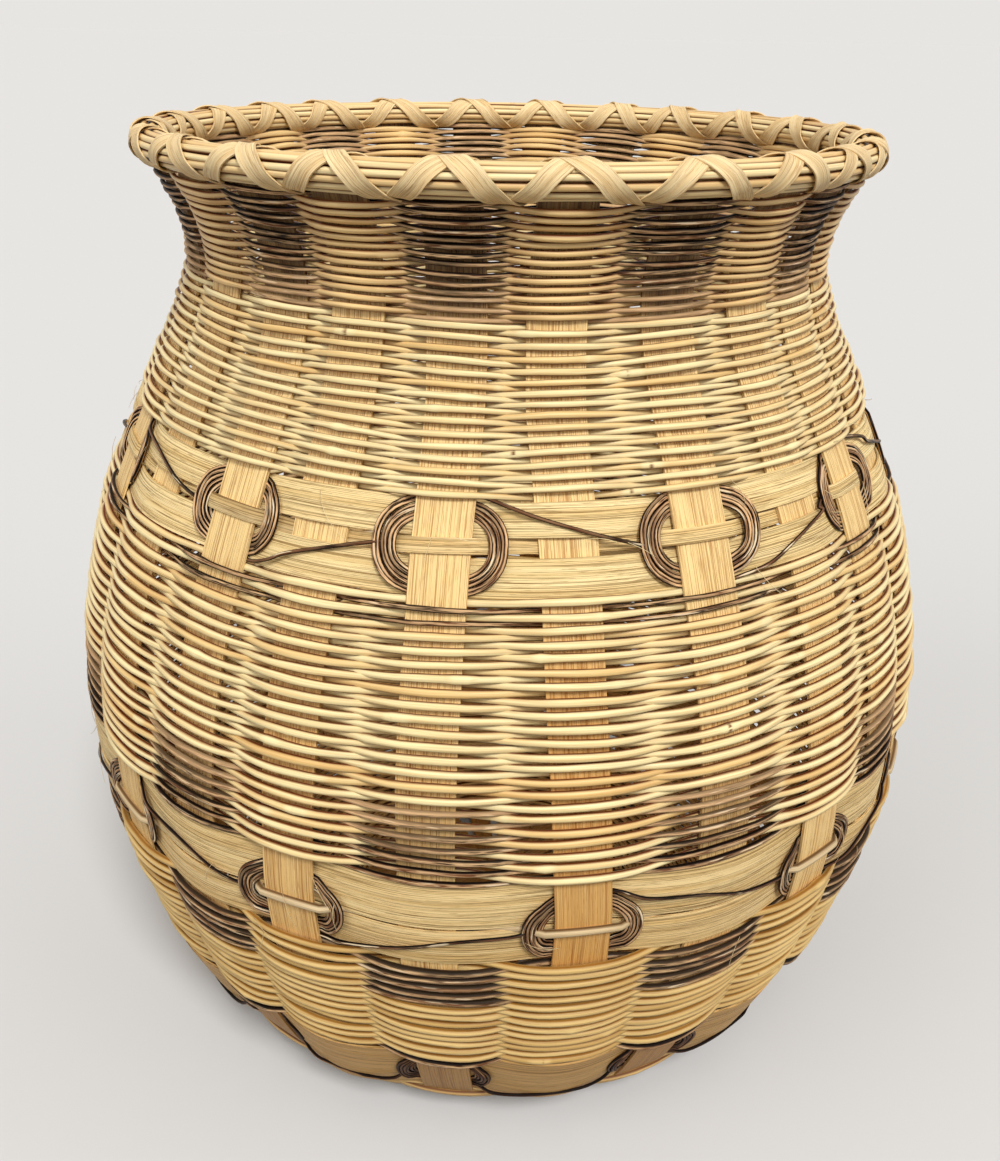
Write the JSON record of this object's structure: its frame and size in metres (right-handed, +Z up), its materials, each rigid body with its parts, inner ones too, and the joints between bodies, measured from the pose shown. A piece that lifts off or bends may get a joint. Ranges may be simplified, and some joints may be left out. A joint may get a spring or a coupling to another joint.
{
  "type": "woven basket",
  "caption": "Round vase-shaped woven basket with a drawn-in neck, a wide open mouth, coiled vine ring bands and a lashed rim.",
  "frame": {"origin": "middle of the flat ring that the basket stands on, on its axis", "axes": "+Z up along the basket's axis; -Y towards the side that the picture shows, +X to the right in the picture"},
  "size_m": [0.3298, 0.33, 0.3455],
  "materials": {
    "oak_splint": "bare split oak, fine lengthwise grain, light tan",
    "pale_oak_splint": "bare split oak, pale, faint streaks",
    "light_reed": "bare peeled round weaver, pale cream-yellow",
    "tan_weave": "bare round weaver, tan",
    "dark_weave": "walnut-dyed and natural round weaver in alternate columns",
    "dark_vine": "walnut-dyed vine with rough bark",
    "lashing_splint": "bare thin split oak, cream-orange"
  },
  "bodies": {
    "root": {"splint_01": "oak_splint", "splint_02": "oak_splint", "splint_03": "oak_splint", "splint_04": "oak_splint", "splint_05": "oak_splint", "splint_06": "oak_splint", "splint_07": "oak_splint", "splint_08": "oak_splint", "splint_09": "oak_splint", "splint_10": "oak_splint", "splint_11": "oak_splint", "splint_12": "oak_splint", "base_weave": "tan_weave", "foot_band_splint": "pale_oak_splint", "lower_weave": "light_reed", "lower_band_splint_low": "pale_oak_splint", "lower_band_splint_high": "pale_oak_splint", "lower_tie_vine": "light_reed", "lower_ring_vine": "dark_vine", "middle_weave": "light_reed", "upper_band_splint_low": "pale_oak_splint", "upper_band_splint_high": "pale_oak_splint", "upper_tie_splint": "pale_oak_splint", "upper_ring_vine": "dark_vine", "upper_weave": "light_reed", "neck_weave": "dark_weave", "rim_reeds_outer": "light_reed", "rim_reeds_inner": "light_reed", "rim_lashing_under": "lashing_splint", "rim_lashing_over": "lashing_splint"}
  },
  "joints": []
}
